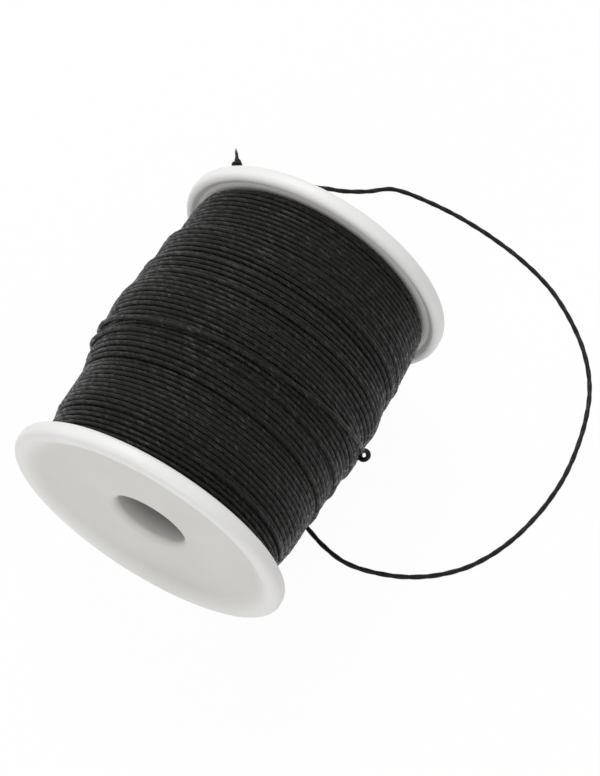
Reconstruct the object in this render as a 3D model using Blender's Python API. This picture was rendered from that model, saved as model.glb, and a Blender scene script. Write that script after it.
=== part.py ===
"""Spool of waxed thread, lying on its side.

Units are metres and +Z is up. The spool's axis is level and runs along Y. The near flange
is at -Y. The object stands on the surface z = 0, on one flat of each flange's rim.
"""

import math

import bmesh
import bpy
from mathutils import Vector

# Spool body
FLANGE_RADIUS = 0.0300
SPOOL_LENGTH = 0.0685
RIM_THICKNESS = 0.0034
RIM_EDGE_RADIUS = 0.0013
RIM_CREST_WIDTH = 0.0008
RIM_SLOPE_WIDTH = 0.0042
RIM_BEAD_WIDTH = 0.0022
BACK_RELIEF = 0.0007
WEB_THICKNESS = 0.0011
BORE_RADIUS = 0.0076
BORE_MOUTH_RADIUS = 0.0016
SLEEVE_WALL = 0.0016
SLEEVE_LENGTH = 0.0160
SLEEVE_CHAMFER = 0.0004
RIB_COUNT = 6
RIB_HEIGHT = 0.0017
RIB_WIDTH = 0.0014
RIB_END_SETBACK = 0.0015
BARREL_WALL = 0.0018
BARREL_CHAMFER = 0.0004

# Thread and what holds it
THREAD_DIAMETER = 0.00105
FREE_RIM = 0.0045
PACKAGE_CROWN = 0.0026
PACKAGE_SHOULDER = 0.0010
TAPE_WIDTH = 0.0180
TAPE_THICKNESS = 0.0002
LOOP_HEIGHT = 0.0014
LOOP_FOOT_SPACING = 0.0024
KNOT_RADIUS = 0.00145
KNOT_LENGTH = 0.0030
KNOT_STUB = 0.0025

# Seat between pieces that touch, and the tail's height above the surface it lies on
SEAT_GAP = 0.0003
LYING_GAP = 0.00002

# Mesh fineness
SIDES = 48
ARC_STEPS = 4
SLOPE_STEPS = 6
CROWN_STEPS = 16
TAIL_POINTS = 78
CROSSING_POINTS = 34
LOOP_POINTS = 13
THREAD_BEVEL_RESOLUTION = 2

# A rim flat, not a corner, touches the surface, so the axis is at the polygon's apothem
AXIS_HEIGHT = FLANGE_RADIUS * math.cos(math.pi / SIDES)
SLEEVE_RADIUS = BORE_RADIUS + SLEEVE_WALL
RIB_RADIUS = SLEEVE_RADIUS + RIB_HEIGHT
BARREL_BORE_RADIUS = RIB_RADIUS + SEAT_GAP
BARREL_RADIUS = BARREL_BORE_RADIUS + BARREL_WALL
PACKAGE_END_RADIUS = FLANGE_RADIUS - FREE_RIM
WALL_BACK = RIM_THICKNESS - BACK_RELIEF
WINDING_HALF_WIDTH = SPOOL_LENGTH / 2 - WALL_BACK - SEAT_GAP
TAPE_BORE_RADIUS = BARREL_RADIUS + SEAT_GAP
TAPE_RADIUS = TAPE_BORE_RADIUS + TAPE_THICKNESS

# The strand that crosses over the last layer, as (degrees round the axis from +X, place
# along the axis)
CROSSING_ROUTE = [
    (98.0, -0.0046),
    (85.0, -0.0041),
    (72.0, -0.0039),
    (58.0, -0.0032),
    (44.0, -0.0024),
    (32.0, -0.0015),
    (20.0, -0.0007),
    (10.0, 0.0002),
    (3.0, 0.0010),
]

# The slack bight beside the end of that strand, at the same kind of place
LOOP_ANGLE = -16.0
LOOP_PLACE = 0.0028

# The free end, from under the package to the knot, as (x, y, height above lying flat)
TAIL_ROUTE = [
    (0.0010, 0.0008, 0.00024),
    (0.0050, -0.0004, 0.00008),
    (0.0100, -0.0024, 0.00002),
    (0.0155, -0.0048, 0.0),
    (0.0212, -0.0074, 0.0),
    (0.0265, -0.0094, 0.0),
    (0.0322, -0.0103, 0.0),
    (0.0384, -0.0092, 0.0),
    (0.0447, -0.0067, 0.0),
    (0.0504, -0.0028, 0.0),
    (0.0553, 0.0026, 0.0),
    (0.0592, 0.0101, 0.0),
    (0.0617, 0.0190, 0.0),
    (0.0627, 0.0283, 0.0),
    (0.0621, 0.0370, 0.0),
    (0.0604, 0.0453, 0.0),
    (0.0577, 0.0522, 0.0),
    (0.0532, 0.0587, 0.0),
    (0.0470, 0.0645, 0.0),
    (0.0396, 0.0694, 0.0),
    (0.0310, 0.0728, 0.0),
    (0.0215, 0.0750, 0.0),
    (0.0120, 0.0761, 0.0),
    (0.0035, 0.0761, 0.0),
    (-0.0008, 0.0757, 0.0),
    (-0.0035, 0.0750, 0.0),
    (-0.0053, 0.0738, 0.0),
    (-0.0075, 0.0720, 0.0),
    (-0.0102, 0.0704, 0.0),
    (-0.0130, 0.0690, 0.0),
    (-0.0160, 0.0680, 0.0),
    (-0.0203, 0.0662, 0.0),
    (-0.0250, 0.0638, 0.0),
    (-0.0298, 0.0612, 0.0),
    (-0.0333, 0.0600, 0.0),
    (-0.0356, 0.0606, 0.0),
    (-0.0365, 0.0620, 0.00008),
]


def clear_scene():
    for old in list(bpy.data.objects):
        bpy.data.objects.remove(old)


def make_material(name, color, roughness, metallic=0.0):
    material = bpy.data.materials.new(name)
    material.use_nodes = True
    shader = material.node_tree.nodes["Principled BSDF"]
    shader.inputs["Base Color"].default_value = (*color, 1.0)
    shader.inputs["Roughness"].default_value = roughness
    shader.inputs["Metallic"].default_value = metallic
    material.diffuse_color = (*color, 1.0)
    return material


def make_empty(name, location):
    empty = bpy.data.objects.new(name, None)
    empty.location = location
    bpy.context.collection.objects.link(empty)
    return empty


def place(obj, material, parent, location=(0, 0, 0), turn=0.0):
    obj.data.materials.clear()
    obj.data.materials.append(material)
    obj.parent = parent
    obj.location = location
    obj.rotation_euler = (0, 0, turn)


def arc(centre, radius, start, end, steps=ARC_STEPS):
    """Points of an arc in the (radius, axial place) plane, angles in degrees."""
    points = []
    for step in range(steps + 1):
        angle = math.radians(start + (end - start) * step / steps)
        points.append((centre[0] + radius * math.cos(angle), centre[1] + radius * math.sin(angle)))
    return points


def turned_solid(name, profile):
    """A closed ring: the closed (radius, axial place) profile spun round the Y axis."""
    bm = bmesh.new()
    half_side = math.pi / SIDES
    start = Vector((math.sin(half_side), 0.0, -math.cos(half_side)))
    axis = Vector((0.0, 1.0, 0.0))
    verts = [bm.verts.new(start * radius + axis * along) for radius, along in profile]
    edges = [bm.edges.new((verts[i - 1], verts[i])) for i in range(len(verts))]
    bmesh.ops.spin(
        bm, geom=verts + edges, cent=(0, 0, 0), axis=axis, angle=2 * math.pi, steps=SIDES, use_merge=True
    )
    bmesh.ops.recalc_face_normals(bm, faces=bm.faces)
    return finish_mesh(name, bm)


def finish_mesh(name, bm):
    mesh = bpy.data.meshes.new(name)
    bm.to_mesh(mesh)
    bm.free()
    mesh.shade_smooth()
    mesh.set_sharp_from_angle(angle=math.radians(35))
    obj = bpy.data.objects.new(name, mesh)
    bpy.context.collection.objects.link(obj)
    return obj


def flange_profile():
    """Outer face at 0, rising inwards: bore, hollow web, rounded rim bead, flat back and sleeve."""
    recess = WALL_BACK - WEB_THICKNESS
    crest_outer = FLANGE_RADIUS - RIM_EDGE_RADIUS
    crest_inner = crest_outer - RIM_CREST_WIDTH
    web_radius = crest_inner - RIM_SLOPE_WIDTH
    mouth = BORE_RADIUS + BORE_MOUTH_RADIUS
    profile = [(BORE_RADIUS, SLEEVE_LENGTH)]
    profile += arc((mouth, recess + BORE_MOUTH_RADIUS), BORE_MOUTH_RADIUS, 180, 270)
    for step in range(SLOPE_STEPS + 1):
        share = step / SLOPE_STEPS
        height = recess * (1 + math.cos(math.pi * share)) / 2
        profile.append((web_radius + RIM_SLOPE_WIDTH * share, height))
    profile += arc((crest_outer, RIM_EDGE_RADIUS), RIM_EDGE_RADIUS, 270, 360)
    profile += arc((crest_outer, RIM_THICKNESS - RIM_EDGE_RADIUS), RIM_EDGE_RADIUS, 0, 90)
    bead_radius = FLANGE_RADIUS - RIM_BEAD_WIDTH
    profile.append((bead_radius, RIM_THICKNESS))
    profile.append((bead_radius - BACK_RELIEF, WALL_BACK))
    profile.append((SLEEVE_RADIUS, WALL_BACK))
    profile.append((SLEEVE_RADIUS, SLEEVE_LENGTH - SLEEVE_CHAMFER))
    profile.append((SLEEVE_RADIUS - SLEEVE_CHAMFER, SLEEVE_LENGTH))
    return profile


def rib_cutter(name, turn):
    """One crush rib of a flange's sleeve, let into the sleeve's wall and the back of the web."""
    inner = SLEEVE_RADIUS - SLEEVE_WALL / 2
    low = WALL_BACK - WEB_THICKNESS / 2
    high = SLEEVE_LENGTH - RIB_END_SETBACK
    bm = bmesh.new()
    bmesh.ops.create_cube(bm, size=1.0)
    for vert in bm.verts:
        vert.co.x = inner if vert.co.x < 0 else RIB_RADIUS
        vert.co.y = low if vert.co.y < 0 else high
        vert.co.z *= RIB_WIDTH
    outer_end = [e for e in bm.edges if all(v.co.x > inner and v.co.y > low for v in e.verts)]
    bmesh.ops.bevel(bm, geom=outer_end, offset=SLEEVE_CHAMFER, segments=1, affect="EDGES")
    for vert in bm.verts:
        x, z = vert.co.x, vert.co.z
        vert.co.x = x * math.cos(turn) - z * math.sin(turn)
        vert.co.z = x * math.sin(turn) + z * math.cos(turn)
    bmesh.ops.recalc_face_normals(bm, faces=bm.faces)
    rib = finish_mesh(name, bm)
    rib.hide_render = True
    rib.display_type = "WIRE"
    return rib


def make_flange(name):
    """One moulded flange: rim, web and the ribbed sleeve that the barrel is pressed onto."""
    flange = turned_solid(name, flange_profile())
    for index in range(RIB_COUNT):
        turn = 2 * math.pi * (index + 0.5) / RIB_COUNT
        union = flange.modifiers.new(f"rib_{index + 1}", "BOOLEAN")
        union.operation = "UNION"
        union.solver = "EXACT"
        union.object = rib_cutter(f"{name}_rib_{index + 1}", turn)
    return flange


def move_with(flange, parent, location, turn):
    """Places a flange and the ribs that its unions read."""
    for part in [flange] + [m.object for m in flange.modifiers]:
        part.parent = parent
        part.location = location
        part.rotation_euler = (0, 0, turn)


def make_barrel():
    half = WINDING_HALF_WIDTH
    profile = [
        (BARREL_BORE_RADIUS, half - BARREL_CHAMFER),
        (BARREL_BORE_RADIUS, BARREL_CHAMFER - half),
        (BARREL_BORE_RADIUS + BARREL_CHAMFER, -half),
        (BARREL_RADIUS, -half),
        (BARREL_RADIUS, half),
        (BARREL_BORE_RADIUS + BARREL_CHAMFER, half),
    ]
    return turned_solid("barrel", profile)


def make_tape():
    half = TAPE_WIDTH / 2
    profile = [(TAPE_BORE_RADIUS, -half), (TAPE_RADIUS, -half), (TAPE_RADIUS, half), (TAPE_BORE_RADIUS, half)]
    return turned_solid("start_tape", profile)


def package_radius(along):
    """Outer radius of the wound thread at a place along the axis: a low crown."""
    share = min(1.0, abs(along) / WINDING_HALF_WIDTH)
    return PACKAGE_END_RADIUS + PACKAGE_CROWN * math.cos(math.pi * share / 2)


def make_package():
    """The wound thread as one turned ring, with a step in its bore for the tape."""
    half = WINDING_HALF_WIDTH
    tape_half = TAPE_WIDTH / 2 + SEAT_GAP
    bore = BARREL_RADIUS + SEAT_GAP
    tape_bore = TAPE_RADIUS + SEAT_GAP
    profile = [(bore, half), (bore, tape_half), (tape_bore, tape_half)]
    profile += [(tape_bore, -tape_half), (bore, -tape_half), (bore, -half)]
    flank = half - PACKAGE_SHOULDER
    shoulder_centre = package_radius(flank) - PACKAGE_SHOULDER
    profile += arc((shoulder_centre, -flank), PACKAGE_SHOULDER, 270, 360)
    for step in range(1, CROWN_STEPS):
        along = -flank + 2 * flank * step / CROWN_STEPS
        profile.append((package_radius(along), along))
    profile += arc((shoulder_centre, flank), PACKAGE_SHOULDER, 0, 90)
    return turned_solid("thread_package", profile)


def spline_point(points, position):
    """A point of the Catmull-Rom curve through the points, position counted in points."""
    last = len(points) - 1
    index = min(int(position), last - 1)
    t = position - index
    b, c = points[index], points[index + 1]
    a = points[index - 1] if index > 0 else 2 * b - c
    d = points[index + 2] if index + 2 <= last else 2 * c - b
    return 0.5 * (2 * b + (c - a) * t + (2 * a - 5 * b + 4 * c - d) * t**2 + (3 * b - a - 3 * c + d) * t**3)


def even_points(route, count):
    """Points at even distances along the smooth curve through the route."""
    points = [Vector(point) for point in route]
    fine = [spline_point(points, (len(points) - 1) * i / 4000) for i in range(4001)]
    travelled = [0.0]
    for before, after in zip(fine, fine[1:]):
        travelled.append(travelled[-1] + (after - before).length)
    chosen = []
    index = 0
    for step in range(count):
        wanted = travelled[-1] * step / (count - 1)
        while index < len(fine) - 1 and travelled[index] < wanted:
            index += 1
        chosen.append(fine[index])
    return chosen


def thread_tube(name, points):
    """A plain tube of thread: a bevelled POLY curve with filled ends."""
    curve = bpy.data.curves.new(name, "CURVE")
    curve.dimensions = "3D"
    curve.bevel_depth = THREAD_DIAMETER / 2
    curve.bevel_resolution = THREAD_BEVEL_RESOLUTION
    curve.use_fill_caps = True
    spline = curve.splines.new("POLY")
    spline.points.add(len(points) - 1)
    for spline_vertex, point in zip(spline.points, points):
        spline_vertex.co = (*point, 1.0)
    obj = bpy.data.objects.new(name, curve)
    bpy.context.collection.objects.link(obj)
    return obj


def on_package(degrees, along, lift):
    """A point at a height above the package's surface, measured from the spool's centre."""
    radius = package_radius(along) + lift
    angle = math.radians(degrees)
    return Vector((radius * math.cos(angle), along, radius * math.sin(angle)))


def make_crossing_strand():
    lift = THREAD_DIAMETER / 2 + SEAT_GAP
    route = [on_package(degrees, along, lift) for degrees, along in CROSSING_ROUTE]
    return thread_tube("crossing_strand", even_points(route, CROSSING_POINTS))


def make_slack_loop():
    """A small bight of thread that stands off the package between its two feet."""
    foot_lift = THREAD_DIAMETER / 2 + SEAT_GAP
    points = []
    for step in range(LOOP_POINTS):
        angle = math.pi * step / (LOOP_POINTS - 1)
        along = LOOP_PLACE + LOOP_FOOT_SPACING / 2 * math.cos(angle)
        lift = foot_lift + LOOP_HEIGHT * math.sin(angle)
        points.append(on_package(LOOP_ANGLE, along, lift))
    return thread_tube("slack_loop", points)


def knot_profile():
    """Half-outline of the pulled-tight knot and its cut stub, from base to tip."""
    thread_radius = THREAD_DIAMETER / 2
    profile = [(0.0, 0.0)]
    for step in range(2 * ARC_STEPS + 1):
        share = step / (2 * ARC_STEPS)
        swell = math.sin(math.pi * share)
        profile.append((thread_radius + (KNOT_RADIUS - thread_radius) * swell, KNOT_LENGTH * share))
    profile.append((thread_radius, KNOT_LENGTH + KNOT_STUB))
    profile.append((0.0, KNOT_LENGTH + KNOT_STUB))
    return profile


def make_knot(tail_points):
    """The knot, turned on its own axis and laid in line with the end of the tail."""
    bm = bmesh.new()
    verts = [bm.verts.new((radius, 0.0, along)) for radius, along in knot_profile()]
    edges = [bm.edges.new(pair) for pair in zip(verts, verts[1:])]
    bmesh.ops.spin(
        bm, geom=verts + edges, cent=(0, 0, 0), axis=(0, 0, 1), angle=2 * math.pi, steps=12, use_merge=True
    )
    bmesh.ops.remove_doubles(bm, verts=bm.verts, dist=1e-7)
    bmesh.ops.recalc_face_normals(bm, faces=bm.faces)
    knot = finish_mesh("end_knot", bm)
    along = tail_points[-1] - tail_points[-2]
    along.z = 0.0
    along.normalize()
    start = tail_points[-1] + along * (SEAT_GAP + THREAD_DIAMETER / 4)
    start.z = KNOT_RADIUS
    knot.rotation_mode = "QUATERNION"
    knot.rotation_quaternion = along.to_track_quat("Z", "Y")
    knot.location = start
    return knot


def build():
    clear_scene()
    plastic = make_material("white_plastic", (0.80, 0.80, 0.78), 0.45)
    card = make_material("barrel_plastic", (0.72, 0.72, 0.70), 0.50)
    tape_film = make_material("tape_film", (0.78, 0.74, 0.60), 0.35)
    waxed_thread = make_material("waxed_thread", (0.030, 0.030, 0.029), 0.50)

    spool_centre = make_empty("spool_centre", (0, 0, AXIS_HEIGHT))
    surface = make_empty("standing_surface", (0, 0, 0))

    for name, end, turn in (("near_flange", -1, 0.0), ("far_flange", 1, math.pi)):
        flange = make_flange(name)
        flange.data.materials.append(plastic)
        move_with(flange, spool_centre, (0, end * SPOOL_LENGTH / 2, 0), turn)

    place(make_barrel(), card, spool_centre)
    place(make_tape(), tape_film, spool_centre)
    place(make_package(), waxed_thread, spool_centre)
    place(make_crossing_strand(), waxed_thread, spool_centre)
    place(make_slack_loop(), waxed_thread, spool_centre)

    lying_height = THREAD_DIAMETER / 2 + LYING_GAP
    tail_route = [(x, y, lying_height + lift) for x, y, lift in TAIL_ROUTE]
    tail_points = even_points(tail_route, TAIL_POINTS)
    place(thread_tube("thread_tail", tail_points), waxed_thread, surface)
    knot = make_knot(tail_points)
    knot.data.materials.append(waxed_thread)
    knot.parent = surface


build()
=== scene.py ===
import math

import bpy
import numpy as np
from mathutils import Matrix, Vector


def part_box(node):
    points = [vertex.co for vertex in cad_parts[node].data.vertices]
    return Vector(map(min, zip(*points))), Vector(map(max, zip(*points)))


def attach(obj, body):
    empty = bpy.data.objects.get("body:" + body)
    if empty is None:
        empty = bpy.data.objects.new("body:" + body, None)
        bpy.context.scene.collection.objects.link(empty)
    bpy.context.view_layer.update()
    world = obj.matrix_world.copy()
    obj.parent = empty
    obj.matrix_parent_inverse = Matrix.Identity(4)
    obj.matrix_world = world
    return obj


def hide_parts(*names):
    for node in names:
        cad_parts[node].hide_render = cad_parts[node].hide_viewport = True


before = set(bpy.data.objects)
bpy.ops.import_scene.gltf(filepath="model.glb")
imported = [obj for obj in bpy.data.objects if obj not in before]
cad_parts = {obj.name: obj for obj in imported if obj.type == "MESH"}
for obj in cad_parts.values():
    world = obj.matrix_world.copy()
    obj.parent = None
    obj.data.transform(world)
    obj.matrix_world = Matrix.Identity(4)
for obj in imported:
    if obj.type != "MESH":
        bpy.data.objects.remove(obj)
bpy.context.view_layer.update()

mm = 0.001

cameraView = dict(
    lookAt=(0.0112, 0.0071, 0.0304),
    azimuth=29.55,  # degrees, 0 looks along +Y
    elevation=62.8,  # degrees above level
    distance=0.402,
    lens=93.4,
)


def makeCamera(view):
    azimuth, elevation = math.radians(view["azimuth"]), math.radians(view["elevation"])
    level = math.cos(elevation)
    back = Vector((math.sin(azimuth) * level, -math.cos(azimuth) * level, math.sin(elevation)))
    camera = bpy.data.objects.new("camera", bpy.data.cameras.new("camera"))
    bpy.context.scene.collection.objects.link(camera)
    camera.location = Vector(view["lookAt"]) + back * view["distance"]
    camera.rotation_mode = "QUATERNION"
    camera.rotation_quaternion = (-back).to_track_quat("-Z", "Y")
    camera.data.lens = view["lens"]
    camera.data.clip_start = 0.01
    bpy.context.scene.camera = camera


makeCamera(cameraView)
print("camera placed")


def addNode(tree, kind, place=(0, 0), **settings):
    node = tree.nodes.new(kind)
    node.location = place
    for name, value in settings.items():
        setattr(node, name, value)
    return node


def feed(tree, socket, value):
    # Links another node's output to the socket, or sets a constant there.
    if isinstance(value, bpy.types.NodeSocket):
        tree.links.new(value, socket)
    else:
        socket.default_value = value


def mathNode(tree, operation, *values, clamp=False):
    node = addNode(tree, "ShaderNodeMath", operation=operation, use_clamp=clamp)
    for socket, value in zip(node.inputs, values):
        feed(tree, socket, value)
    return node.outputs[0]


def joinAxes(tree, *values):
    node = addNode(tree, "ShaderNodeCombineXYZ")
    for socket, value in zip(node.inputs, values):
        feed(tree, socket, value)
    return node.outputs[0]


def mapRange(tree, value, low, high, toLow=0.0, toHigh=1.0):
    node = addNode(tree, "ShaderNodeMapRange", interpolation_type="SMOOTHSTEP")
    tree.links.new(value, node.inputs["Value"])
    node.inputs["From Min"].default_value = low
    node.inputs["From Max"].default_value = high
    node.inputs["To Min"].default_value = toLow
    node.inputs["To Max"].default_value = toHigh
    return node.outputs["Result"]


def noiseOf(tree, vector, scale, detail, roughness=0.5):
    node = addNode(tree, "ShaderNodeTexNoise")
    tree.links.new(vector, node.inputs["Vector"])
    feed(tree, node.inputs["Scale"], scale)
    node.inputs["Detail"].default_value = detail
    node.inputs["Roughness"].default_value = roughness
    return node.outputs["Fac"]


def mixColours(tree, factor, first, second):
    node = addNode(tree, "ShaderNodeMix", data_type="RGBA")
    tree.links.new(factor, node.inputs["Factor"])
    for socket, value in ((node.inputs[6], first), (node.inputs[7], second)):
        feed(tree, socket, (*value, 1.0) if isinstance(value, tuple) else value)
    return node.outputs[2]


def newGroup(name, inputs, outputs):
    group = bpy.data.node_groups.new(name, "ShaderNodeTree")
    for label, kind, value in inputs:
        socket = group.interface.new_socket(name=label, in_out="INPUT", socket_type=kind)
        socket.default_value = value
    for label, kind in outputs:
        group.interface.new_socket(name=label, in_out="OUTPUT", socket_type=kind)
    start = addNode(group, "NodeGroupInput", (-900, 0))
    end = addNode(group, "NodeGroupOutput", (900, 0))
    return group, start, end


def newMaterial(name):
    material = bpy.data.materials.new(name)
    material.use_nodes = True
    return material, material.node_tree, material.node_tree.nodes["Principled BSDF"]


def placeGroup(tree, group, **values):
    node = addNode(tree, "ShaderNodeGroup", (-400, 0), node_tree=group)
    for label, value in values.items():
        node.inputs[label.replace("_", " ")].default_value = value
    return node


def addBump(tree, shader, height, distance):
    bump = addNode(tree, "ShaderNodeBump", (-200, -300))
    bump.inputs["Distance"].default_value = distance
    bump.inputs["Strength"].default_value = 1.0
    tree.links.new(height, bump.inputs["Height"])
    tree.links.new(bump.outputs["Normal"], shader.inputs["Normal"])


thread = dict(
    diameter=0.00105,
    bodyRadius=0.000508,  # half the mean width of the twisted pair
    oval=0.06,  # how far the two plies stand out of that, as a share
    lay=0.0071,  # length of one full twist
    napAndGrooveShade=(0.0045, 0.0044, 0.0038),  # colour of the darker fibre, and painted shade in the groove between the plies
    face=(0.0062, 0.0061, 0.0048),  # colour of the dyed fibre
    bloom=(0.017, 0.0168, 0.0155),  # where the wax has turned pale
    paintedGlint=(0.055, 0.055, 0.051),  # painted glints: short pale flecks that stand in for the wax's highlights
    roughness=(0.23, 0.60),
    specular=0.15,
    sheen=0.06,
    relief=0.00005,  # depth of the plies and fibres in the bump
)


def buildTwistGroup():
    # Fibre lines and the ply groove, read from the strand map: U is millimetres along, V once round.
    group, start, end = newGroup(
        "twistedPlies",
        [("Lay", "NodeSocketFloat", 7.1), ("Fibre Scale", "NodeSocketFloat", 3.4)],
        [("Height", "NodeSocketFloat"), ("Groove", "NodeSocketFloat"),
         ("Fibre", "NodeSocketFloat"), ("Wax", "NodeSocketFloat")],
    )
    strand = addNode(group, "ShaderNodeUVMap", uv_map="strand")
    parts = addNode(group, "ShaderNodeSeparateXYZ")
    group.links.new(strand.outputs[0], parts.inputs[0])
    along, around = parts.outputs[0], parts.outputs[1]
    turns = mathNode(group, "SUBTRACT", around, mathNode(group, "DIVIDE", along, start.outputs["Lay"]))
    angle = mathNode(group, "MULTIPLY", turns, 2 * math.pi)
    plies = mathNode(group, "COSINE", mathNode(group, "MULTIPLY", angle, 2.0))
    groove = mapRange(group, plies, -0.72, -1.0)
    cosine, sine = mathNode(group, "COSINE", angle), mathNode(group, "SINE", angle)
    twisted = joinAxes(group, cosine, sine, mathNode(group, "MULTIPLY", along, 0.16))
    fibre = noiseOf(group, twisted, start.outputs["Fibre Scale"], 4.0, 0.62)
    lumps = joinAxes(group, *[mathNode(group, "MULTIPLY", value, share)
                              for value, share in ((along, 0.55), (cosine, 0.35), (sine, 0.35))])
    wax = noiseOf(group, lumps, 1.3, 3.0, 0.55)
    height = mathNode(group, "MULTIPLY", groove, -1.0)
    for value, share in ((plies, 0.35), (fibre, 0.9), (wax, 0.7)):
        height = mathNode(group, "ADD", height, mathNode(group, "MULTIPLY", value, share))
    for label, value in (("Height", height), ("Groove", groove), ("Fibre", fibre), ("Wax", wax)):
        group.links.new(value, end.inputs[label])
    return group


def buildSurfaceGroup():
    # Handling marks in object space: soft blotches and fine grain, shared by the plastics, the
    # tape and the buried turns.
    group, start, end = newGroup(
        "handledSurface",
        [("Blotch Scale", "NodeSocketFloat", 60.0), ("Grain Scale", "NodeSocketFloat", 2500.0)],
        [("Blotch", "NodeSocketFloat"), ("Grain", "NodeSocketFloat")],
    )
    place = addNode(group, "ShaderNodeTexCoord")
    for label, scale, detail in (("Blotch", "Blotch Scale", 3.0), ("Grain", "Grain Scale", 2.0)):
        noise = noiseOf(group, place.outputs["Object"], start.outputs[scale], detail)
        group.links.new(noise, end.inputs[label])
    return group


twistedPlies = buildTwistGroup()
handledSurface = buildSurfaceGroup()


def makeThreadMaterial(settings):
    material, tree, shader = newMaterial("waxedThread")
    plies = placeGroup(tree, twistedPlies, Lay=settings["lay"] / mm)
    fibre, wax = plies.outputs["Fibre"], plies.outputs["Wax"]
    dyed = mixColours(tree, mapRange(tree, fibre, 0.3, 0.7), settings["napAndGrooveShade"], settings["face"])
    waxed = mixColours(tree, mapRange(tree, wax, 0.56, 0.80), dyed, settings["bloom"])
    # painted shade: the groove between the plies is painted in the darker nap colour
    grooveShaded = mixColours(tree, plies.outputs["Groove"], waxed, settings["napAndGrooveShade"])
    # painted glints: pale flecks where fibre and wax noise peak together, in place of highlights
    glintMask = mathNode(tree, "MULTIPLY", mapRange(tree, fibre, 0.54, 0.64), mapRange(tree, wax, 0.46, 0.60))
    glinted = mixColours(tree, glintMask, grooveShaded, settings["paintedGlint"])
    tree.links.new(glinted, shader.inputs["Base Color"])
    smooth, dull = settings["roughness"]
    tree.links.new(mapRange(tree, wax, 0.35, 0.65, dull, smooth), shader.inputs["Roughness"])
    shader.inputs["Specular IOR Level"].default_value = settings["specular"]
    shader.inputs["Sheen Weight"].default_value = settings["sheen"]
    addBump(tree, shader, plies.outputs["Height"], settings["relief"])
    return material


waxedThread = makeThreadMaterial(thread)
print("thread material built")


def unit(vectors):
    return vectors / np.linalg.norm(vectors, axis=-1, keepdims=True)


def travelAlong(points):
    return np.concatenate([[0], np.cumsum(np.linalg.norm(np.diff(points, axis=0), axis=1))])


def lengthOf(points):
    return float(np.linalg.norm(np.diff(points, axis=0), axis=1).sum())


def evenPoints(route, spacing):
    # A Catmull-Rom curve through the route, then points of equal spacing along it.
    route = np.asarray(route, float)
    ends = np.vstack([2 * route[0] - route[1], route, 2 * route[-1] - route[-2]])
    steps = np.linspace(0, 1, 60, endpoint=False)[:, None]
    dense = []
    for a, b, c, d in zip(ends, ends[1:], ends[2:], ends[3:]):
        dense.append(0.5 * (2 * b + (c - a) * steps + (2 * a - 5 * b + 4 * c - d) * steps**2
                            + (3 * b - a - 3 * c + d) * steps**3))
    dense = np.vstack(dense + [route[-1:]])
    travel = travelAlong(dense)
    count = max(2, round(travel[-1] / spacing))
    wanted = np.linspace(0, travel[-1], count + 1)
    return np.stack([np.interp(wanted, travel, dense[:, axis]) for axis in range(3)], axis=1)


def twistedRings(centres, outward, travel, sides, radius, oval, groove):
    # The two plies stand out as an oval that turns with the lay. The groove between them is optional.
    tangent = unit(np.gradient(centres, axis=0))
    side = unit(np.cross(tangent, outward))
    up = np.cross(side, tangent)
    turn = np.arange(sides) * 2 * math.pi / sides
    relative = turn[None, :] - 2 * math.pi * travel[:, None] / thread["lay"]
    profile = 1 + oval * np.cos(2 * relative) + 0.25 * oval * np.cos(relative)
    profile -= groove * np.clip(-np.cos(2 * relative), 0, 1) ** 6
    reach = np.broadcast_to(np.asarray(radius, float), (len(centres),))[:, None] * profile
    return (centres[:, None, :] + up[:, None, :] * (reach * np.cos(turn))[:, :, None]
            + side[:, None, :] * (reach * np.sin(turn))[:, :, None])


def sweepThread(centres, outward, startLength, sides, radius, oval, groove=0.0):
    # A thread round the centres. Returns its points, quads, strand map and bake map.
    count = len(centres)
    travel = startLength + travelAlong(centres)
    rings = twistedRings(centres, outward, travel, sides, radius, oval, groove)
    ring, corner = np.meshgrid(np.arange(count - 1), np.arange(sides), indexing="ij")
    ring, corner = ring.ravel(), corner.ravel()
    nextCorner = (corner + 1) % sides
    quads = np.stack([ring * sides + corner, (ring + 1) * sides + corner,
                      (ring + 1) * sides + nextCorner, ring * sides + nextCorner], axis=1)
    along = np.stack([travel[ring], travel[ring + 1], travel[ring + 1], travel[ring]], axis=1) / mm
    around = np.stack([corner, corner, corner + 1, corner + 1], axis=1) / sides
    strand = np.stack([along, around], axis=2)
    # The bake map cuts the thread into rows of one length and stacks them.
    total = travel[-1] - travel[0]
    girth = 2 * math.pi * float(np.mean(radius))
    perRow = max(1, math.ceil((count - 1) / max(1, round(math.sqrt(total / girth)))))
    rows = math.ceil((count - 1) / perRow)
    row = ring // perRow
    across = np.stack([ring, ring + 1, ring + 1, ring], axis=1) - (row * perRow)[:, None]
    bake = np.stack([0.01 + 0.98 * across / perRow,
                     (row[:, None] + 0.06 + 0.88 * around) / (rows + 1)], axis=2)
    return rings.reshape(-1, 3), quads, strand, bake


def closedLattice(rings, sides):
    # Quads between rings of equal size, with the last ring joined to the first.
    faces = []
    for ring in range(rings):
        nextRing = (ring + 1) % rings
        for column in range(sides):
            other = (column + 1) % sides
            faces.append([ring * sides + column, nextRing * sides + column, nextRing * sides + other,
                          ring * sides + other])
    return faces


def meshObject(name, points, faces, material, smooth=True):
    mesh = bpy.data.meshes.new(name)
    mesh.from_pydata(points.tolist(), [], faces)
    mesh.validate()
    if smooth:
        mesh.shade_smooth()
    mesh.materials.append(material)
    obj = bpy.data.objects.new(name, mesh)
    bpy.context.scene.collection.objects.link(obj)
    return obj


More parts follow.
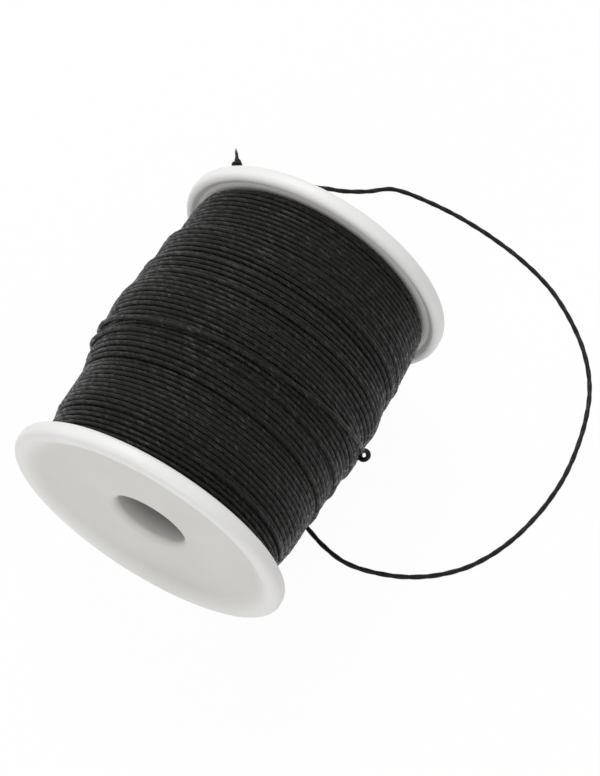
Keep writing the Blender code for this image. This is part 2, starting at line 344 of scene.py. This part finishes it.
def threadObject(name, sweeps, material):
    # One object from one or more sweeps, each closed by its two end caps, which have a spot of their own
    # in the bake map.
    points, faces, strand, bake, base = [], [], [], [], 0
    for ringPoints, quads, strandMap, bakeMap in sweeps:
        points.append(ringPoints)
        faces += (quads + base).tolist()
        strand.append(strandMap.reshape(-1, 2))
        bake.append(bakeMap.reshape(-1, 2))
        sides = int(quads[0, 1] - quads[0, 0])
        last = len(ringPoints) - sides
        angle = np.arange(sides) * 2 * math.pi / sides
        startCap, endCap = range(sides), range(last + sides - 1, last - 1, -1)
        for cap, length in ((startCap, strandMap[0, 0, 0]), (endCap, strandMap[-1, 1, 0])):
            faces.append([base + index for index in cap])
            strand.append(np.stack([np.full(sides, length), angle / (2 * math.pi)], axis=1))
            bake.append(np.stack([0.5 + 0.01 * np.cos(angle), 0.985 + 0.01 * np.sin(angle)], axis=1))
        base += len(ringPoints)
    obj = meshObject(name, np.vstack(points), faces, material)
    for label, values in (("strand", strand), ("OFBake", bake)):
        layer = obj.data.uv_layers.new(name=label)
        layer.data.foreach_set("uv", np.vstack(values).astype(np.float32).ravel())
    obj.data.uv_layers.active = obj.data.uv_layers["strand"]
    return obj


tail = dict(
    route=[  # x, y and height above lying flat, from under the package to the knot
        (0.0010, 0.0008, 0.00024),
        (0.0050, -0.0004, 0.00008),
        (0.0100, -0.0024, 0.00002),
        (0.0155, -0.0048, 0.0),
        (0.0212, -0.0074, 0.0),
        (0.0265, -0.0094, 0.0),
        (0.0322, -0.0103, 0.0),
        (0.0384, -0.0092, 0.0),
        (0.0447, -0.0067, 0.0),
        (0.0504, -0.0028, 0.0),
        (0.0553, 0.0026, 0.0),
        (0.0592, 0.0101, 0.0),
        (0.0617, 0.0190, 0.0),
        (0.0627, 0.0283, 0.0),
        (0.0621, 0.0370, 0.0),
        (0.0604, 0.0453, 0.0),
        (0.0577, 0.0522, 0.0),
        (0.0532, 0.0587, 0.0),
        (0.0470, 0.0645, 0.0),
        (0.0396, 0.0694, 0.0),
        (0.0310, 0.0728, 0.0),
        (0.0215, 0.0750, 0.0),
        (0.0120, 0.0761, 0.0),
        (0.0035, 0.0761, 0.0),
        (-0.0008, 0.0757, 0.0),
        (-0.0035, 0.0750, 0.0),
        (-0.0053, 0.0738, 0.0),
        (-0.0075, 0.0720, 0.0),
        (-0.0102, 0.0704, 0.0),
        (-0.0130, 0.0690, 0.0),
        (-0.0160, 0.0680, 0.0),
        (-0.0203, 0.0662, 0.0),
        (-0.0250, 0.0638, 0.0),
        (-0.0298, 0.0612, 0.0),
        (-0.0333, 0.0600, 0.0),
        (-0.0356, 0.0606, 0.0),
        (-0.0365, 0.0620, 0.00008),
    ],
    lyingHeight=0.000545,
    ringSpacing=0.00033,
    sides=20,
    groove=0.07,
)

knot = dict(
    axisHeight=0.00128,  # of the knot's middle, above the surface
    wrapRadius=0.00082,  # from the middle to the wraps' centreline
    wrapTurns=1.85,
    wrapStart=2.3,  # radians round the middle
    bodyLength=0.0028,
    threadRadius=0.00047,
    stubLength=0.0027,
    stubNeck=0.00034,  # radius where the stub starts to fray
    stubTip=0.00016,  # radius at the cut
    sides=16,
    ringSpacing=0.00016,
    groove=0.08,
    fibres=9,
    fibreRadius=0.00003,
    fibreLength=0.0009,
    fibreSpacing=0.00012,
    fibreSides=5,
    seed=11,
)

tailRoute = [(x, y, tail["lyingHeight"] + lift) for x, y, lift in tail["route"]]
tailPath = evenPoints(tailRoute, tail["ringSpacing"])
tailLength = lengthOf(tailPath)
upwards = np.array([0.0, 0.0, 1.0])
tailSweep = sweepThread(tailPath, upwards, 0.0, tail["sides"], thread["bodyRadius"], thread["oval"],
                        tail["groove"])
tailThread = threadObject("tail_thread", [tailSweep], waxedThread)


def frayedFibres(tip, along, across):
    rng = np.random.default_rng(knot["seed"])
    sweeps = []
    for _ in range(knot["fibres"]):
        lean = along + across * rng.normal(0, 0.30) + upwards * abs(rng.normal(0, 0.25))
        length = knot["fibreLength"] * rng.uniform(0.5, 1.0)
        root = tip - along * 0.35 * mm + across * rng.normal(0, 0.07) * mm
        root = root + upwards * rng.normal(0, 0.05) * mm
        bend = across * rng.normal(0, 0.12) * mm
        route = [root, root + unit(lean) * length * 0.5, root + unit(lean) * length + bend]
        fibre = evenPoints(route, knot["fibreSpacing"])
        fibre[:, 2] = np.maximum(fibre[:, 2], knot["fibreRadius"] * 1.5)
        sweeps.append(sweepThread(fibre, upwards, 0.0, knot["fibreSides"], knot["fibreRadius"], 0.0))
    return sweeps


def makeKnot():
    # A tight overhand knot: the thread runs through the middle of its own two wraps, then out as a stub.
    end = tailPath[-1]
    along = unit(tailPath[-1] - tailPath[-6])
    along = unit(np.array([along[0], along[1], 0.0]))
    across = np.cross(along, upwards)
    middle = np.array([end[0], end[1], knot["axisHeight"]])
    body, stub = knot["bodyLength"], knot["stubLength"]
    lying = thread["bodyRadius"]
    core = evenPoints([
        end,
        end + along * 0.25 * body + upwards * 0.3 * (knot["axisHeight"] - end[2]),
        middle + along * 0.55 * body,
        middle + along * 0.85 * body - upwards * 0.1 * mm,
        middle + along * (body + 0.35 * stub) - upwards * 0.50 * mm + across * 0.08 * mm,
        middle + along * (body + stub) - upwards * (knot["axisHeight"] - lying) - across * 0.05 * mm,
    ], knot["ringSpacing"])
    share = np.linspace(0, 1, len(core))
    sizes = [lying, knot["threadRadius"], knot["stubNeck"], knot["stubTip"]]
    taper = np.interp(share, [0, 0.55, 0.9, 1.0], sizes)
    sweeps = [sweepThread(core, upwards, tailLength, knot["sides"], taper, thread["oval"], knot["groove"])]
    steps = np.linspace(0, 1, 90)
    swing = 2 * math.pi * knot["wrapTurns"] * steps + knot["wrapStart"]
    tuck = np.sin(math.pi * np.clip(steps, 0, 1)) ** 0.35  # both ends of the wraps go into the middle
    place = 0.27 * body + (body - 0.54 * body) * steps + 0.30 * mm * np.sin(swing * 0.5)
    wrap = (middle + along * place[:, None]
            + (across * np.cos(swing)[:, None] + upwards * np.sin(swing)[:, None])
            * (knot["wrapRadius"] * tuck)[:, None])
    wrap = evenPoints(wrap, knot["ringSpacing"])
    axisPoint = middle + along * ((wrap - middle) @ along)[:, None]
    outward = unit(wrap - axisPoint + along * 1e-6)
    sweeps.append(sweepThread(wrap, outward, 0.05, knot["sides"], knot["threadRadius"], thread["oval"],
                              knot["groove"]))
    sweeps += frayedFibres(core[-1], along, across)
    return threadObject("overhand_knot", sweeps, waxedThread)


overhandKnot = makeKnot()
for piece, node in ((tailThread, "thread_tail"), (overhandKnot, "end_knot")):
    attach(piece, "root")
    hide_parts(node)
print(f"tail laid, {tailLength * 1000:.1f} mm")

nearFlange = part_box("near_flange")
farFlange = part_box("far_flange")
spool = dict(
    axisHeight=(nearFlange[0].z + nearFlange[1].z) / 2,
    length=farFlange[1].y - nearFlange[0].y,
    flangeRadius=0.0300,
    rimThickness=0.0034,
    beadWidth=0.0022,  # the rim's bead stands proud behind the wall
    backRelief=0.0007,
)
spool["wallBack"] = spool["rimThickness"] - spool["backRelief"]

winding = dict(
    halfWidth=spool["length"] / 2 - spool["wallBack"] - 0.0003,
    endGap=0.55,  # mm from the last turns' centreline to that
    columns=160,  # rings in one turn
    sides=10,
    startAngle=190.0,  # degrees round from +X towards +Z, on the side that faces the surface
    contact=0.00093,  # how near two turns' centrelines come when pulled tight
    bedding=0.90,  # how far a turn climbs on those under it, as a share of round threads
    leastGap=0.985,  # mm between neighbouring turns of a stroke
    # place along the axis and radius of the buried turns, both in mm, on the fuller and the flatter side
    coreLeft=[
        (-31.0, 25.0), (-27.0, 25.2), (-25.4, 25.4), (-23.0, 26.0), (-14.0, 26.0), (-12.6, 25.5),
        (-10.0, 26.4), (-8.5, 26.4), (-7.5, 25.7), (-4.3, 25.5), (-3.0, 26.5), (1.0, 27.0),
        (4.0, 26.9), (6.0, 26.2), (11.3, 26.1), (18.4, 26.5), (22.0, 26.2), (28.0, 26.2), (31.0, 25.6),
    ],
    coreRight=[
        (-31.0, 24.4), (-26.0, 24.7), (-22.0, 25.5), (-18.4, 25.7), (-14.0, 25.6), (-12.0, 25.3),
        (-8.5, 25.4), (-7.5, 24.9), (-6.0, 25.0), (-3.0, 24.8), (-1.0, 25.7), (1.0, 25.4), (2.5, 24.3),
        (5.0, 25.5), (8.0, 25.8), (10.0, 25.5), (12.0, 24.9), (14.0, 25.9), (18.0, 25.9), (20.0, 26.6),
        (27.0, 26.1), (31.0, 25.4),
    ],
    leanAngle=166.0,  # degrees round from +X, where the fuller side lies
    flatten=0.45,  # mm by which the package is lower square to that line
    wander=0.10,  # mm by which the spacing of two turns varies
    wanderReach=0.16,  # of a turn, over which it does so
    memory=0.95,  # how much of its place a turn keeps from the one before
    crossingSlope=2.0,  # mm a turn, past which the guide crosses over to its next stroke
    ridingCount=18,  # stretches where a turn rides up onto the one before
    ridingReach=(0.05, 0.13),  # of a turn
    ridingShare=(0.3, 0.6),
    lookBack=24,  # rings of the turn before that count when a turn is eased
    climbRings=2.2,  # rings over which a climb onto other turns is eased
    settleRings=4.0,  # rings over which a turn takes over the height of the one before
    seed=5,
    # the guide's strokes: turn count and place along the axis in mm
    strokes=[
        (0.0, 30.6), (59.0, -30.5), (59.42, -13.0), (90.0, 18.6), (90.42, 11.8), (108.9, -8.0), (109.35, 3.4),
    ],
    slotTurns=18,  # turns of the last stroke, which leave a slot for the last turn underneath
    slotAngle=255.0,
    slotReach=45.0,  # degrees to either side of that
    turnsPerPiece=10,
)

lastTurn = dict(
    # turn angle in degrees and place along the axis in mm, from the last regular turn to the exit
    route=[
        (316.0, 3.55), (330.0, 3.2), (344.0, 2.6), (352.0, 2.2), (360.0, 1.5), (370.0, 0.4), (380.0, -0.6),
        (392.0, -1.5), (404.0, -2.4), (418.0, -3.2), (432.0, -3.9), (445.0, -4.1), (458.0, -4.6),
        (480.0, -5.0), (510.0, -4.6), (540.0, -3.2), (570.0, -1.0), (595.0, 0.9), (615.0, 1.7),
        (624.0, 1.5), (631.95, 0.8),
    ],
    exitAngle=600.0,  # from here it runs down to the free tail
    curlAngle=352.0,
    curlSpread=7.0,  # degrees of the turn that the curl takes
    curlRadius=0.00076,
    bedding=0.75,  # it is slack, and sinks between the turns it crosses
)


def coreRadius(place, angle):
    # The buried turns: their size along the axis on either side, with a few tenths of unevenness.
    inMm = place / mm
    sides = [np.interp(inMm, *zip(*winding[name])) for name in ("coreLeft", "coreRight")]
    middle, half = (sides[0] + sides[1]) / 2, (sides[0] - sides[1]) / 2
    uneven = 0.07 * np.cos(2 * angle + inMm / 7.0) + 0.06 * np.cos(3 * angle - inMm / 5.0 + 1.0)
    lean = angle - math.radians(winding["leanAngle"])
    return (middle + half * np.cos(lean) - winding["flatten"] * np.sin(lean) ** 2 + uneven) * mm


def bellWeights(width):
    reach = int(3 * width)
    weights = np.exp(-0.5 * (np.arange(-reach, reach + 1) / width) ** 2)
    return weights / weights.sum()


def smoothAlong(values, width):
    weights = bellWeights(width)
    reach = len(weights) // 2
    padded = np.concatenate([np.full(reach, values[0]), values, np.full(reach, values[-1])])
    return np.convolve(padded, weights, mode="valid")


def smoothNoise(rng, count, width):
    weights = bellWeights(width)
    smooth = np.convolve(rng.normal(size=count + len(weights) - 1), weights, mode="valid")
    return smooth / smooth.std()


def spacedPlaces(even, slope, noise, riding):
    # Each ring keeps its distance from the ring one turn before, except where the guide crosses over.
    columns, steep = winding["columns"], winding["crossingSlope"]
    place = even.copy()
    for ring in range(columns, len(even)):
        if abs(slope[ring]) > steep:
            continue
        previous = ring - columns
        if abs(slope[previous]) > steep:
            place[ring] = even[ring]
            continue
        forwards = math.copysign(1, slope[ring])
        wanted = even[ring] + winding["memory"] * (place[previous] - even[previous]) + noise[ring]
        least = winding["leastGap"] * (1 - min(riding[ring], 0.9))
        place[ring] = place[previous] + max((wanted - place[previous]) * forwards, least) * forwards
    return place


def strokePlaces():
    # Where each ring lies along the axis: even strokes of the guide, with uneven spacing from turn to turn.
    rng = np.random.default_rng(winding["seed"])
    columns = winding["columns"]
    knots = np.array(winding["strokes"])
    total = int(round(knots[-1, 0] * columns))
    turns = np.arange(total) / columns
    even = np.interp(turns, knots[:, 0], knots[:, 1])
    slope = np.gradient(even) * columns  # mm a turn
    angle = np.radians(winding["startAngle"]) + 2 * math.pi * turns
    noise = winding["wander"] * smoothNoise(rng, total, columns * winding["wanderReach"])
    riding = np.zeros(total)
    for _ in range(winding["ridingCount"]):
        centre, reach = rng.integers(columns, total), columns * rng.uniform(*winding["ridingReach"])
        bump = np.exp(-0.5 * ((np.arange(total) - centre) / reach) ** 2)
        riding += rng.uniform(*winding["ridingShare"]) * bump
    place = spacedPlaces(even, slope, noise, riding)
    shared = 0.28 * np.cos(angle + even / 11.0) + 0.14 * np.cos(2 * angle - even / 6.0 + 0.7)
    place = smoothAlong(place + shared, 2.0)
    # the last stroke leaves a slot for the last turn on the underside
    slot = turns > turns[-1] - winding["slotTurns"]
    under = np.degrees(angle) % 360
    track = np.interp(under + 360, *zip(*lastTurn["route"]))
    window = np.clip(1 - np.abs(under - winding["slotAngle"]) / winding["slotReach"], 0, 1) ** 0.5
    away = place - track
    place += np.where(slot, window * 0.6 * np.tanh(away / 0.3) * np.exp(-np.abs(away) / 3.0), 0)
    limit = winding["halfWidth"] / mm - winding["endGap"]  # mm, the furthest a ring may lie from the middle
    return np.clip(place, -limit, limit) * mm, angle


def lastTurnPlaces(startPlace):
    # The last turn follows its own list, taken over softly from the regular turns.
    columns = winding["columns"]
    route = np.array(lastTurn["route"])
    step = 360.0 / columns
    degrees = np.arange(route[0, 0], route[-1, 0] + step * 0.5, step)
    degrees[-1] = route[-1, 0]
    smooth = evenPoints([(turned, place, 0.0) for turned, place in route], 0.5)
    places = np.interp(degrees, smooth[:, 0], smooth[:, 1]) * mm
    blend = np.clip(np.arange(len(places)) / (columns * 0.04), 0, 1)
    return startPlace * (1 - blend) + places * blend, np.radians(degrees)


def restingRadius(place, angle, laid, laidRadius, bedding):
    # Each ring rests on the core or on the turns already under it.
    radius = coreRadius(place, angle) + 0.5 * thread["diameter"]
    contact = winding["contact"]
    for before, beforeRadius in zip(laid, laidRadius):
        gap = place - before
        touching = np.abs(gap) < contact
        rest = beforeRadius + bedding * np.sqrt(np.clip(contact**2 - gap**2, 0, None))
        radius = np.where(touching, np.maximum(radius, rest), radius)
    return radius


def easedRadius(rest, before):
    # The thread is stiff: it lifts a few rings ahead of a climb and comes down softly after it.
    count, ahead = len(rest), 8
    stretched = np.concatenate([before, rest, np.full(ahead, rest[-1])])
    lifted = stretched.copy()
    for shift in (1, 2, 3):
        lifted[shift:] = np.maximum(lifted[shift:], stretched[:-shift])
        lifted[:-shift] = np.maximum(lifted[:-shift], stretched[shift:])
    eased = smoothAlong(lifted, winding["climbRings"])
    eased = eased[len(stretched) - ahead - count:len(stretched) - ahead]
    if len(before):
        eased = eased + (before[-1] - eased[0]) * np.exp(-np.arange(count) / winding["settleRings"])
    return eased


def runDown(angle, radius, firstRing):
    # The end of the last turn comes to the height at which the free tail starts.
    degrees = np.degrees(angle[firstRing:])
    exitRadius = math.hypot(tailPath[0][0], tailPath[0][2] - spool["axisHeight"])
    ease = np.clip((degrees - lastTurn["exitAngle"]) / (degrees[-1] - lastTurn["exitAngle"]), 0, 1)
    ease = ease * ease * (3 - 2 * ease)
    return np.concatenate([radius[:firstRing], radius[firstRing:] * (1 - ease) + exitRadius * ease])


def windPackage():
    # Turn by turn, each one laid on those before it. Returns the place, angle and radius of every ring.
    columns = winding["columns"]
    place, angle = strokePlaces()
    firstRing = len(place)
    lastPlace, lastAngle = lastTurnPlaces(place[-1])
    place, angle = np.concatenate([place, lastPlace]), np.concatenate([angle, lastAngle])
    radius = np.zeros(len(place))
    laid, laidRadius = [], []
    for start in range(0, len(place), columns):
        picked = np.arange(start, min(start + columns, len(place)))
        count = len(picked)
        bedding = np.where(picked < firstRing, winding["bedding"], lastTurn["bedding"])
        rest = restingRadius(place[picked], angle[picked], [p[:count] for p in laid],
                             [r[:count] for r in laidRadius], bedding)
        radius[picked] = easedRadius(rest, radius[max(0, start - winding["lookBack"]):start])
        laid.append(place[picked])
        laidRadius.append(radius[picked])
    return place, angle, runDown(angle, radius, firstRing), firstRing


woundPlace, woundAngle, woundRadius, lastTurnStart = windPackage()


def aroundAxis(place, angle, radius):
    return np.stack([radius * np.cos(angle), place, spool["axisHeight"] + radius * np.sin(angle)], axis=1)


def insertCurl(centres, outward):
    # Replaces the rings near the curl's angle by a corkscrew turn of the same thread.
    degrees = np.degrees(woundAngle[lastTurnStart:])
    low = lastTurn["curlAngle"] - lastTurn["curlSpread"] / 2
    high = lastTurn["curlAngle"] + lastTurn["curlSpread"] / 2
    before = lastTurnStart + int(np.searchsorted(degrees, low))
    after = lastTurnStart + int(np.searchsorted(degrees, high))
    start, stop = centres[before], centres[after]
    out = unit(outward[before] + outward[after])
    alongAxis = np.array([0.0, 1.0, 0.0])
    share = np.linspace(0, 1, 40)[1:-1, None]
    swing = 2 * math.pi * share
    size = lastTurn["curlRadius"]
    curl = start + (stop - start) * share
    curl = curl + out * size * (1 - np.cos(swing)) - alongAxis * size * np.sin(swing)
    curlOut = unit(-out * np.cos(swing) - alongAxis * np.sin(swing) + out * 1e-3)
    newCentres = np.vstack([centres[:before + 1], curl, centres[after:]])
    newOutward = np.vstack([outward[:before + 1], curlOut, outward[after:]])
    return newCentres, newOutward


def makePackage():
    centres = aroundAxis(woundPlace, woundAngle, woundRadius)
    outward = aroundAxis(woundPlace * 0, woundAngle, np.ones_like(woundRadius)) - [0, 0, spool["axisHeight"]]
    centres, outward = insertCurl(centres, outward)
    centres[-1] = tailPath[0]
    perPiece = winding["turnsPerPiece"] * winding["columns"]
    shortest = perPiece // 3
    cuts = list(range(0, lastTurnStart - shortest, perPiece)) + [lastTurnStart, len(centres) - 1]
    objects, length = [], 0.0
    for index, (start, stop) in enumerate(zip(cuts, cuts[1:])):
        run = centres[start:stop + 1]
        sweep = sweepThread(run, outward[start:stop + 1], length, winding["sides"], thread["bodyRadius"],
                            thread["oval"])
        name = "last_turn" if stop == cuts[-1] else f"wound_turns_{index + 1:02d}"
        objects.append(threadObject(name, [sweep], waxedThread))
        length += lengthOf(run)
    return objects, length


packagePieces, packageLength = makePackage()
print(f"{len(packagePieces)} pieces of wound thread, {packageLength:.2f} m of it modelled")

buried = dict(
    columns=96,
    rowsPerRib=4,
    rib=0.16,  # mm that a rib stands out
    sunk=0.10,  # mm from the outer turns' bed down to the grooves between the ribs
    tapeGap=0.0003,
    dark=(0.008, 0.008, 0.0075),
    pale=(0.018, 0.0175, 0.017),
    roughness=(0.6, 0.8),
    relief=0.00004,
)


def makeBuriedMaterial():
    material, tree, shader = newMaterial("buriedThread")
    marks = placeGroup(tree, handledSurface, Blotch_Scale=400.0, Grain_Scale=5000.0)
    colour = mixColours(tree, marks.outputs["Blotch"], buried["dark"], buried["pale"])
    tree.links.new(colour, shader.inputs["Base Color"])
    tree.links.new(mapRange(tree, marks.outputs["Grain"], 0.3, 0.7, *buried["roughness"]),
                   shader.inputs["Roughness"])
    addBump(tree, shader, marks.outputs["Grain"], buried["relief"])
    return material


def makeBuriedTurns():
    # The turns under the outer ones, as one ribbed solid with a bore that clears the tape.
    half, columns = winding["halfWidth"], buried["columns"]
    pitch = thread["diameter"]
    ribs = int(2 * half / pitch)
    places = np.linspace(-half, half, ribs * buried["rowsPerRib"] + 1)
    angles = np.arange(columns) * 2 * math.pi / columns
    lifts = buried["rib"] * mm * np.abs(np.sin(math.pi * (places + half) / pitch))
    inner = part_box("start_tape")[1].z - spool["axisHeight"] + buried["tapeGap"]
    rows = []
    for place, lift in zip(places, lifts):
        radius = coreRadius(np.full(columns, place), angles) - buried["sunk"] * mm + lift
        rows.append(aroundAxis(np.full(columns, place), angles, radius))
    for place in (half, -half):
        rows.append(aroundAxis(np.full(columns, place), angles, np.full(columns, inner)))
    faces = closedLattice(len(rows), columns)
    return meshObject("buried_turns", np.vstack(rows), faces, makeBuriedMaterial())


buriedTurns = makeBuriedTurns()
for piece in packagePieces + [buriedTurns]:
    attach(piece, "root")
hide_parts("thread_package")
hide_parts("crossing_strand", "slack_loop")
print("package wound")

flange = dict(
    rimEdge=0.0013,  # radius of the rim's rounded edges
    crestWidth=0.0008,  # flat part of the rim, between its edge and the slope
    slopeWidth=0.0042,
    web=0.0011,  # thickness of the wall inside the slope
    bore=0.0076,  # radius
    mouth=0.0016,  # rounding of the bore's mouth
    sleeveWall=0.0016,
    sleeveLength=0.0160,
    sleeveChamfer=0.0004,
    boreChamfer=0.0003,
    backFillet=0.0008,
    sides=180,
)


def arcPoints(centre, radius, start, end, steps=10):
    angles = np.radians(np.linspace(start, end, steps + 1))
    return [(centre[0] + radius * math.cos(a), centre[1] + radius * math.sin(a)) for a in angles]


def softStep(start, end, steps):
    # A half wave of a cosine from one point to the other, level at both.
    rows = []
    for step in range(steps + 1):
        share = step / steps
        rows.append((start[0] + (end[0] - start[0]) * share,
                     start[1] + (end[1] - start[1]) * (1 - math.cos(math.pi * share)) / 2))
    return rows


def flangeProfile():
    # Radius and depth behind the outer face, once round the section.
    f, outer, thick = flange, spool["flangeRadius"], spool["rimThickness"]
    wallBack, bead = spool["wallBack"], outer - spool["beadWidth"]
    recess = wallBack - f["web"]
    crestOuter = outer - f["rimEdge"]
    webRadius = crestOuter - f["crestWidth"] - f["slopeWidth"]
    sleeve = f["bore"] + f["sleeveWall"]
    edge = f["boreChamfer"]
    points = [(f["bore"], f["sleeveLength"] - edge), (f["bore"], f["sleeveLength"] * 0.6),
              (f["bore"], f["sleeveLength"] * 0.3)]
    points += arcPoints((f["bore"] + f["mouth"], recess + f["mouth"]), f["mouth"], 180, 270)
    middle = (f["bore"] + f["mouth"] + webRadius) / 2
    points += [(middle - 0.004, recess), (middle + 0.004, recess)]
    points += softStep((webRadius, recess), (webRadius + f["slopeWidth"], 0.0), 16)
    points += arcPoints((crestOuter, f["rimEdge"]), f["rimEdge"], 270, 360)
    points += arcPoints((crestOuter, thick - f["rimEdge"]), f["rimEdge"], 0, 90)
    points += softStep((crestOuter, thick), (bead - spool["backRelief"], wallBack), 8)[1:]
    points += [(outer * 0.75, wallBack), (outer * 0.5, wallBack)]
    fillet = f["backFillet"]
    points += arcPoints((sleeve + fillet, wallBack + fillet), fillet, 270, 180)
    points += [(sleeve, f["sleeveLength"] - f["sleeveChamfer"]),
               (sleeve - f["sleeveChamfer"], f["sleeveLength"]), (f["bore"] + edge, f["sleeveLength"])]
    return points


def makeFlange(name, end):
    profile = np.array(flangeProfile())
    sides = flange["sides"]
    angles = np.arange(sides) * 2 * math.pi / sides
    face = end * spool["length"] / 2
    rings = []
    for radius, depth in profile:
        rings.append(aroundAxis(np.full(sides, face - end * depth), angles, np.full(sides, radius)))
    faces = closedLattice(len(rings), sides)
    if end > 0:
        faces = [quad[::-1] for quad in faces]
    obj = meshObject(name, np.vstack(rings), faces, whitePlastic)
    obj.data.set_sharp_from_angle(angle=math.radians(40))
    return obj


plastic = dict(
    rim=(0.90, 0.90, 0.885),
    rimWorn=(0.875, 0.865, 0.845),
    webGreyAndShade=(0.72, 0.70, 0.655),  # the dark thread behind the thin wall greys the web, and this colour also paints the shade of the recessed web
    # blotched variant of the web colour, carrying the same painted shade
    webWornAndShade=(0.69, 0.68, 0.645),
    # painted shade inside the bore, for the dark deep inside the barrel
    paintedBoreShade=(0.30, 0.30, 0.305),
    wallEdge=(0.0232, 0.0284),  # radii between which the wall grows into the rim's bead, and the web's grey and painted shade give way to the rim's white
    boreShadeDepth=(0.0022, 0.0075),  # from the outer face inwards, where the painted shade in the bore deepens
    boreShadeReach=0.0006,  # how far out from the bore that painted shade reaches
    roughness=0.42,
    relief=0.000006,
)


def makePlasticMaterial(name, colour, shade, roughness):
    material, tree, shader = newMaterial(name)
    marks = placeGroup(tree, handledSurface, Blotch_Scale=55.0, Grain_Scale=2600.0)
    tint = mixColours(tree, mapRange(tree, marks.outputs["Blotch"], 0.35, 0.7), colour, shade)
    tree.links.new(tint, shader.inputs["Base Color"])
    tree.links.new(mapRange(tree, marks.outputs["Blotch"], 0.3, 0.7, roughness - 0.05, roughness + 0.07),
                   shader.inputs["Roughness"])
    addBump(tree, shader, marks.outputs["Grain"], plastic["relief"])
    return material, tree, shader, tint


def makeFlangePlastic():
    # White at the thick rim; greyer on the web, partly from the thread behind the thin wall and partly
    # painted shade of the recessed web; and painted shade inside the bore.
    p = plastic
    look = dict(colour=p["rim"], shade=p["rimWorn"], roughness=p["roughness"])
    material, tree, shader, rimTint = makePlasticMaterial("whitePlastic", **look)
    place = addNode(tree, "ShaderNodeTexCoord")
    parts = addNode(tree, "ShaderNodeSeparateXYZ")
    tree.links.new(place.outputs["Object"], parts.inputs[0])
    height = mathNode(tree, "SUBTRACT", parts.outputs[2], spool["axisHeight"])
    squares = mathNode(tree, "ADD", mathNode(tree, "POWER", parts.outputs[0], 2.0),
                       mathNode(tree, "MULTIPLY", height, height))
    radius = mathNode(tree, "SQRT", squares)
    depth = mathNode(tree, "SUBTRACT", spool["length"] / 2, mathNode(tree, "ABSOLUTE", parts.outputs[1]))
    marks = placeGroup(tree, handledSurface, Blotch_Scale=90.0, Grain_Scale=900.0)
    # painted shade: the recessed web inside the rim is painted greyer than the rim
    wall = mixColours(tree, mapRange(tree, marks.outputs["Blotch"], 0.35, 0.7), p["webGreyAndShade"], p["webWornAndShade"])
    body = mixColours(tree, mapRange(tree, radius, *p["wallEdge"]), wall, rimTint)
    # painted shade: the bore is painted grey, darker with depth from the mouth
    boreShadeMask = mathNode(tree, "MULTIPLY", mapRange(tree, depth, *p["boreShadeDepth"]),
                      mathNode(tree, "LESS_THAN", radius, flange["bore"] + p["boreShadeReach"]))
    tree.links.new(mixColours(tree, boreShadeMask, body, p["paintedBoreShade"]), shader.inputs["Base Color"])
    return material


whitePlastic = makeFlangePlastic()
for node, end in (("near_flange", -1), ("far_flange", 1)):
    moulding = makeFlange(f"{node}_moulding", end)
    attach(moulding, "root")
    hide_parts(node)

# two CAD solids stay as they are, inside the package, and only get a material
insidePieces = dict(
    barrel=dict(name="barrelPlastic", colour=(0.72, 0.72, 0.70), shade=(0.67, 0.665, 0.65), roughness=0.5),
    start_tape=dict(name="tapeFilm", colour=(0.78, 0.74, 0.60), shade=(0.70, 0.65, 0.50), roughness=0.3),
)
for node, look in insidePieces.items():
    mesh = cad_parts[node].data
    mesh.materials.clear()
    mesh.materials.append(makePlasticMaterial(**look)[0])
print("flanges turned")

studio = dict(
    floorSize=4.0,
    floorColour=(0.90, 0.90, 0.90),
    floorOwnLight=0.97,  # share of the seen floor that is plain white, the rest takes shadow
    sky=0.50,
    keyPlace=(-0.42, 0.40, 0.90),
    keySize=0.42,
    keyPower=4.4,
    fillPlace=(0.15, -1.0, 0.75),
    fillSize=0.7,
    fillPower=3.2,
)


def cameraLikeRays(tree):
    path = addNode(tree, "ShaderNodeLightPath")
    seen = mathNode(tree, "ADD", path.outputs["Is Camera Ray"], path.outputs["Is Glossy Ray"])
    return mathNode(tree, "ADD", seen, path.outputs["Is Transmission Ray"], clamp=True)


def makeFloor():
    size = studio["floorSize"] / 2
    corners = np.array([(-size, -size, 0), (size, -size, 0), (size, size, 0), (-size, size, 0)], float)
    material, tree, _ = newMaterial("paleFloor")
    tree.nodes.clear()
    end = addNode(tree, "ShaderNodeOutputMaterial")
    diffuse = addNode(tree, "ShaderNodeBsdfDiffuse")
    diffuse.inputs["Color"].default_value = (*studio["floorColour"], 1)
    glow = addNode(tree, "ShaderNodeEmission")
    mix = addNode(tree, "ShaderNodeMixShader")
    tree.links.new(mathNode(tree, "MULTIPLY", cameraLikeRays(tree), studio["floorOwnLight"]), mix.inputs[0])
    tree.links.new(diffuse.outputs[0], mix.inputs[1])
    tree.links.new(glow.outputs[0], mix.inputs[2])
    tree.links.new(mix.outputs[0], end.inputs["Surface"])
    floor = meshObject("floor", corners, [[0, 1, 2, 3]], material, smooth=False)


def makeSky():
    world = bpy.data.worlds.new("studioSky")
    bpy.context.scene.world = world
    world.use_nodes = True
    tree = world.node_tree
    background = tree.nodes["Background"]
    background.inputs["Color"].default_value = (1, 1, 1, 1)
    seen = cameraLikeRays(tree)
    strength = mathNode(tree, "MULTIPLY_ADD", seen, 1 - studio["sky"], studio["sky"])
    tree.links.new(strength, background.inputs["Strength"])


def makeLamp(name, place, size, power):
    lamp = bpy.data.lights.new(name, "AREA")
    lamp.shape = "SQUARE"
    lamp.size = size
    lamp.energy = power
    obj = bpy.data.objects.new(name, lamp)
    bpy.context.scene.collection.objects.link(obj)
    obj.location = place
    towards = Vector((0, 0, spool["axisHeight"])) - Vector(place)
    obj.rotation_mode = "QUATERNION"
    obj.rotation_quaternion = towards.to_track_quat("-Z", "Y")


makeFloor()
makeSky()
makeLamp("keyLamp", studio["keyPlace"], studio["keySize"], studio["keyPower"])
makeLamp("fillLamp", studio["fillPlace"], studio["fillSize"], studio["fillPower"])
bpy.context.scene.view_settings.view_transform = "Standard"
print("studio lit")
